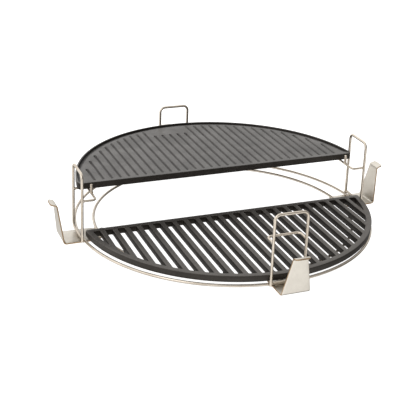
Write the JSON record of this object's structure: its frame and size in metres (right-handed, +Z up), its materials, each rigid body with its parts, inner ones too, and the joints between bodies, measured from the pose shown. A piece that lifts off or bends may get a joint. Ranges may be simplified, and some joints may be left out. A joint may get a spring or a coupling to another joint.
{
  "type": "two-level half-round grill rack",
  "caption": "Wire rack on sheet hangers for a round grill: a half-round grooved griddle sits high at the back and a half-round slotted grate sits low in front; both lift out.",
  "frame": {"origin": "on the floor plane under the rack's centre, which is the centre of the two wire rings", "axes": "+Z up, +Y towards the griddle at the back, -Y towards the grate in front, +X to the right"},
  "size_m": [0.5292, 0.5292, 0.1061],
  "materials": {
    "wire_steel": "bright drawn stainless wire, slightly warm",
    "sheet_steel": "satin stainless sheet with brownish cut edges",
    "stud_steel": "bright turned steel",
    "griddle_iron": "matte seasoned cast iron, fine sand texture",
    "grate_iron": "matte seasoned cast iron, fine sand texture"
  },
  "bodies": {
    "rack": {"outer_ring": "wire_steel", "inner_ring": "wire_steel", "hoop_left": "wire_steel", "hoop_right": "wire_steel", "hoop_front": "wire_steel", "hoop_back": "wire_steel", "shelf_loop_left": "wire_steel", "shelf_loop_right": "wire_steel", "shelf_loop_front": "wire_steel", "shelf_loop_back": "wire_steel", "stop_pin_left": "wire_steel", "stop_pin_right": "wire_steel", "hanger_left": "sheet_steel", "hanger_right": "sheet_steel", "hanger_front": "sheet_steel", "hanger_back": "sheet_steel", "stud_left": "stud_steel", "stud_right": "stud_steel", "stud_front": "stud_steel", "stud_back": "stud_steel"},
    "griddle": {"griddle": "griddle_iron"},
    "grate": {"grate": "grate_iron"}
  },
  "joints": [
    {"name": "griddle_lift", "type": "slide", "parent": "rack", "child": "griddle", "axis": [0, 0, 1], "range_m": [0, 0.1]},
    {"name": "grate_lift", "type": "slide", "parent": "rack", "child": "grate", "axis": [0, 0, 1], "range_m": [0, 0.042]}
  ]
}
